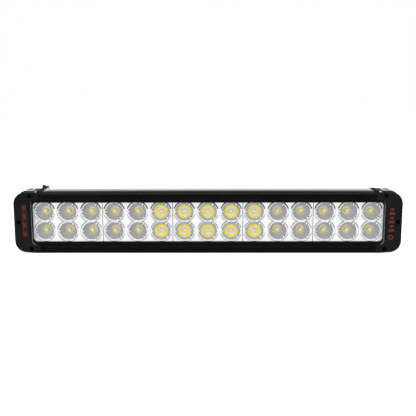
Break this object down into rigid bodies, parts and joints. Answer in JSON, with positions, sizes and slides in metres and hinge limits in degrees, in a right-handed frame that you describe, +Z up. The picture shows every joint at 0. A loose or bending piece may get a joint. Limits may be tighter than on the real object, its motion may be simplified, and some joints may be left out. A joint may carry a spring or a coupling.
{
  "type": "led light bar",
  "caption": "Double-row LED light bar: black finned extrusion between cast end caps, spot lenses in the middle, flood lenses outside, swing brackets and a two-wire plug lead.",
  "frame": {"origin": "under the middle of the bar on the surface it stands on, the power lead left out", "axes": "+X along the bar to the viewer's right, +Z up, the lit front faces -Y"},
  "size_m": [0.5126, 0.1096, 0.0812],
  "materials": {
    "extrusion_black": "satin black anodised",
    "cast_black": "fine-textured black powder coat",
    "bracket_black": "black powder coat on steel plate",
    "black_screw": "black oxide",
    "stainless": "turned stainless steel",
    "zinc_screw": "bright zinc",
    "black_rubber": "matt silicone rubber",
    "clear_pane": "clear polycarbonate",
    "flood_optic": "frosted clear plastic",
    "spot_optic": "polished clear plastic",
    "white_holder": "bright white moulded plastic",
    "led_board": "white solder mask on an aluminium core",
    "phosphor": "yellow phosphor under a clear dome",
    "tinned_copper": "tinned",
    "green_board": "green solder mask",
    "aluminium_can": "plain can",
    "component_black": "moulded epoxy",
    "grey_plastic": "matt",
    "wire_black": "satin insulation",
    "wire_red": "satin insulation",
    "plug_black": "fine spark-eroded texture",
    "plug_grey": "matt"
  },
  "bodies": {
    "light": {"bezel_left": "cast_black", "bezel_right": "cast_black", "bezel_screws": "black_screw", "board_links": "tinned_copper", "board_screws": "zinc_screw", "breather_vent": "grey_plastic", "cable_gland": "black_rubber", "cap_screws": "zinc_screw", "cap_seal_left": "black_rubber", "cap_seal_right": "black_rubber", "driver_board": "green_board", "driver_capacitors": "aluminium_can", "driver_chips": "component_black", "driver_inductors": "component_black", "driver_screws": "zinc_screw", "driver_spacers": "zinc_screw", "driver_terminal": "component_black", "end_cap_left": "cast_black", "end_cap_right": "cast_black", "flat_washers": "stainless", "flood_lenses_1": "flood_optic", "flood_lenses_2": "flood_optic", "flood_lenses_4": "flood_optic", "flood_lenses_5": "flood_optic", "front_lens": "clear_pane", "housing": "extrusion_black", "inner_lead_black": "wire_black", "inner_lead_red": "wire_red", "led_board_1": "led_board", "led_board_2": "led_board", "led_board_3": "led_board", "led_board_4": "led_board", "led_board_5": "led_board", "led_emitters_1": "phosphor", "led_emitters_2": "phosphor", "led_emitters_3": "phosphor", "led_emitters_4": "phosphor", "led_emitters_5": "phosphor", "lens_seal": "black_rubber", "optic_holder_1": "white_holder", "optic_holder_2": "white_holder", "optic_holder_3": "white_holder", "optic_holder_4": "white_holder", "optic_holder_5": "white_holder", "pivot_bolts": "stainless", "plug_latch": "plug_grey", "plug_pins": "tinned_copper", "plug_shell": "plug_black", "plug_wire_seal": "black_rubber", "power_lead_black": "wire_black", "power_lead_red": "wire_red", "spot_lenses_2": "spot_optic", "spot_lenses_3": "spot_optic", "spot_lenses_4": "spot_optic", "spring_washers": "stainless"},
    "left_bracket": {"bracket_left": "bracket_black"},
    "right_bracket": {"bracket_right": "bracket_black"}
  },
  "joints": [
    {"name": "left_bracket_swing", "type": "hinge", "parent": "light", "child": "left_bracket", "pos_m": [-0.246, -0.004, 0.04], "axis": [-1, 0, 0], "range_deg": [0, 180]},
    {"name": "right_bracket_swing", "type": "hinge", "parent": "light", "child": "right_bracket", "pos_m": [0.246, -0.004, 0.04], "axis": [-1, 0, 0], "range_deg": [0, 180]}
  ]
}
